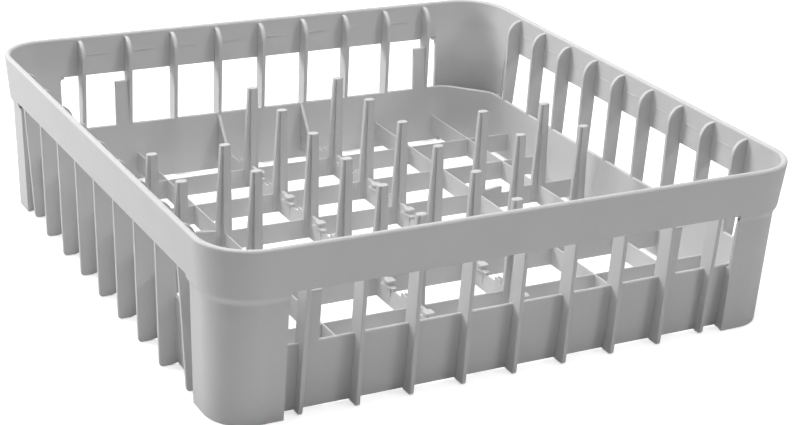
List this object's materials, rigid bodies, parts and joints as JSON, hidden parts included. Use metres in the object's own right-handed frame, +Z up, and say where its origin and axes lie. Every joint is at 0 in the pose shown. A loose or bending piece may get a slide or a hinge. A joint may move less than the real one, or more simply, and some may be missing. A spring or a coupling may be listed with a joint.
{
  "type": "dishwasher glass rack",
  "caption": "Square open rack of grey moulded plastic for washing cups and glasses, with a flared rim, ribbed window walls, a grid floor and upright pegs.",
  "frame": {"origin": "middle of the rack on the table, under the floor grid", "axes": "+Z up, X along the front wall to the right, +Y from the front wall to the back wall"},
  "size_m": [0.3996, 0.3996, 0.11],
  "materials": {
    "plastic": "light grey polypropylene, lightly textured, satin"
  },
  "bodies": {
    "root": {"rack": "plastic"}
  },
  "joints": []
}
